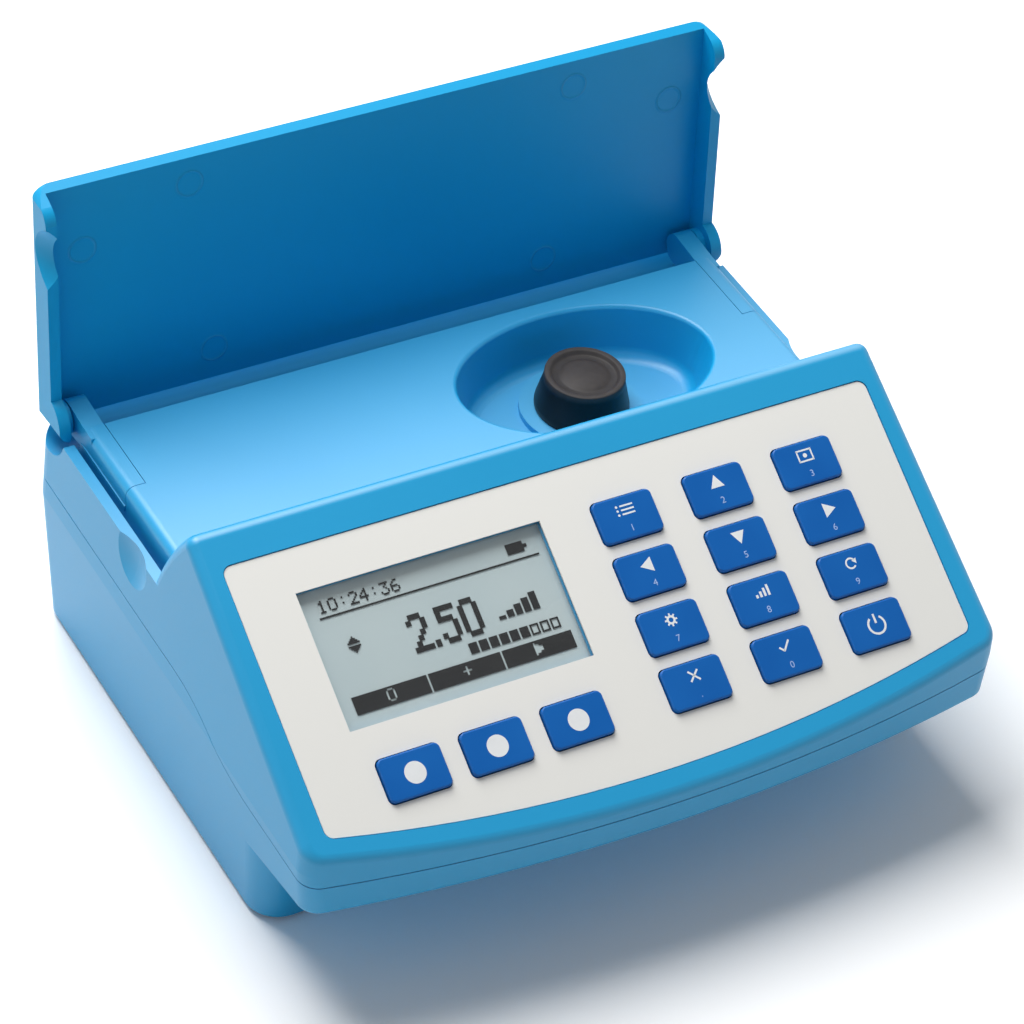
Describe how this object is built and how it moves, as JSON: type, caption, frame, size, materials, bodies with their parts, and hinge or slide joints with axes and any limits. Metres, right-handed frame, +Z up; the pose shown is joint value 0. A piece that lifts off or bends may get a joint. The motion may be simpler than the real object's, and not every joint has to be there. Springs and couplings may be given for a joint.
{
  "type": "bench photometer",
  "caption": "Bench photometer: wedge housing with a sloping key panel and display, an oval sample cup with a capped vial in its well, and a rear-hinged cover lid.",
  "frame": {"origin": "on the table, in the middle of the footprint with the lid open", "axes": "+X to the right of a user who faces the keys, +Y to the rear, +Z up"},
  "size_m": [0.206, 0.182, 0.1402],
  "materials": {
    "housing": "fine moulded grain",
    "label_film": "satin printed film",
    "clear_window": "clear",
    "display_glass": "reflective display",
    "key_plastic": "satin",
    "silicone": "soft",
    "circuit_board": "lacquered",
    "steel": "plated",
    "vial_glass": "clear",
    "sample": "liquid",
    "cap_plastic": "satin",
    "black_plastic": "matt",
    "lamp_resin": "clear resin",
    "lens_glass": "polished",
    "filter_glass": "coated",
    "cell_sleeve": "printed sleeve",
    "rubber": "moulded"
  },
  "bodies": {
    "housing": {"base_shell": "housing", "top_shell": "housing", "hinge_bracket_left": "housing", "hinge_pin_left": "steel", "hinge_bracket_right": "housing", "hinge_pin_right": "steel", "bracket_screws": "steel", "panel_overlay": "label_film", "display_window": "clear_window", "display_module": "display_glass", "key_mat": "silicone", "key_board": "circuit_board", "panel_screws": "steel", "cell_well": "black_plastic", "lamp_board": "circuit_board", "lamp": "lamp_resin", "lens": "lens_glass", "light_filter": "filter_glass", "detector": "black_plastic", "detector_board": "circuit_board", "main_board": "circuit_board", "board_chips": "black_plastic", "board_screws": "steel", "usb_socket": "steel", "battery_cells": "cell_sleeve", "battery_contacts": "steel", "battery_door": "housing", "door_screws": "steel", "housing_screws": "steel", "rubber_feet": "rubber"},
    "lid": {"lid": "housing"},
    "vial": {"vial_glass": "vial_glass", "vial_sample": "sample", "vial_cap": "cap_plastic"},
    "key_a1": {"key_a1": "key_plastic"},
    "key_up": {"key_up": "key_plastic"},
    "key_a3": {"key_a3": "key_plastic"},
    "key_left": {"key_left": "key_plastic"},
    "key_down": {"key_down": "key_plastic"},
    "key_right": {"key_right": "key_plastic"},
    "key_c1": {"key_c1": "key_plastic"},
    "key_c2": {"key_c2": "key_plastic"},
    "key_c3": {"key_c3": "key_plastic"},
    "key_d1": {"key_d1": "key_plastic"},
    "key_d2": {"key_d2": "key_plastic"},
    "key_power": {"key_power": "key_plastic"},
    "softkey_left": {"softkey_left": "key_plastic"},
    "softkey_middle": {"softkey_middle": "key_plastic"},
    "softkey_right": {"softkey_right": "key_plastic"}
  },
  "joints": [
    {"name": "lid_hinge", "type": "hinge", "parent": "housing", "child": "lid", "pos_m": [0, 0.0766, 0.0724], "axis": [-1, 0, 0], "range_deg": [-95.4, 0]},
    {"name": "vial_lift", "type": "slide", "parent": "housing", "child": "vial", "axis": [0, 0, 1], "range_m": [0, 0.066]},
    {"name": "key_a1_press", "type": "slide", "parent": "housing", "child": "key_a1", "axis": [0, 0.5065, -0.8622], "range_m": [0, 0.0008], "stiffness_N_per_m": 2500},
    {"name": "key_up_press", "type": "slide", "parent": "housing", "child": "key_up", "axis": [0, 0.5065, -0.8622], "range_m": [0, 0.0008], "stiffness_N_per_m": 2500},
    {"name": "key_a3_press", "type": "slide", "parent": "housing", "child": "key_a3", "axis": [0, 0.5065, -0.8622], "range_m": [0, 0.0008], "stiffness_N_per_m": 2500},
    {"name": "key_left_press", "type": "slide", "parent": "housing", "child": "key_left", "axis": [0, 0.5065, -0.8622], "range_m": [0, 0.0008], "stiffness_N_per_m": 2500},
    {"name": "key_down_press", "type": "slide", "parent": "housing", "child": "key_down", "axis": [0, 0.5065, -0.8622], "range_m": [0, 0.0008], "stiffness_N_per_m": 2500},
    {"name": "key_right_press", "type": "slide", "parent": "housing", "child": "key_right", "axis": [0, 0.5065, -0.8622], "range_m": [0, 0.0008], "stiffness_N_per_m": 2500},
    {"name": "key_c1_press", "type": "slide", "parent": "housing", "child": "key_c1", "axis": [0, 0.5065, -0.8622], "range_m": [0, 0.0008], "stiffness_N_per_m": 2500},
    {"name": "key_c2_press", "type": "slide", "parent": "housing", "child": "key_c2", "axis": [0, 0.5065, -0.8622], "range_m": [0, 0.0008], "stiffness_N_per_m": 2500},
    {"name": "key_c3_press", "type": "slide", "parent": "housing", "child": "key_c3", "axis": [0, 0.5065, -0.8622], "range_m": [0, 0.0008], "stiffness_N_per_m": 2500},
    {"name": "key_d1_press", "type": "slide", "parent": "housing", "child": "key_d1", "axis": [0, 0.5065, -0.8622], "range_m": [0, 0.0008], "stiffness_N_per_m": 2500},
    {"name": "key_d2_press", "type": "slide", "parent": "housing", "child": "key_d2", "axis": [0, 0.5065, -0.8622], "range_m": [0, 0.0008], "stiffness_N_per_m": 2500},
    {"name": "key_power_press", "type": "slide", "parent": "housing", "child": "key_power", "axis": [0, 0.5065, -0.8622], "range_m": [0, 0.0008], "stiffness_N_per_m": 2500},
    {"name": "softkey_left_press", "type": "slide", "parent": "housing", "child": "softkey_left", "axis": [0, 0.5065, -0.8622], "range_m": [0, 0.0008], "stiffness_N_per_m": 2500},
    {"name": "softkey_middle_press", "type": "slide", "parent": "housing", "child": "softkey_middle", "axis": [0, 0.5065, -0.8622], "range_m": [0, 0.0008], "stiffness_N_per_m": 2500},
    {"name": "softkey_right_press", "type": "slide", "parent": "housing", "child": "softkey_right", "axis": [0, 0.5065, -0.8622], "range_m": [0, 0.0008], "stiffness_N_per_m": 2500}
  ]
}
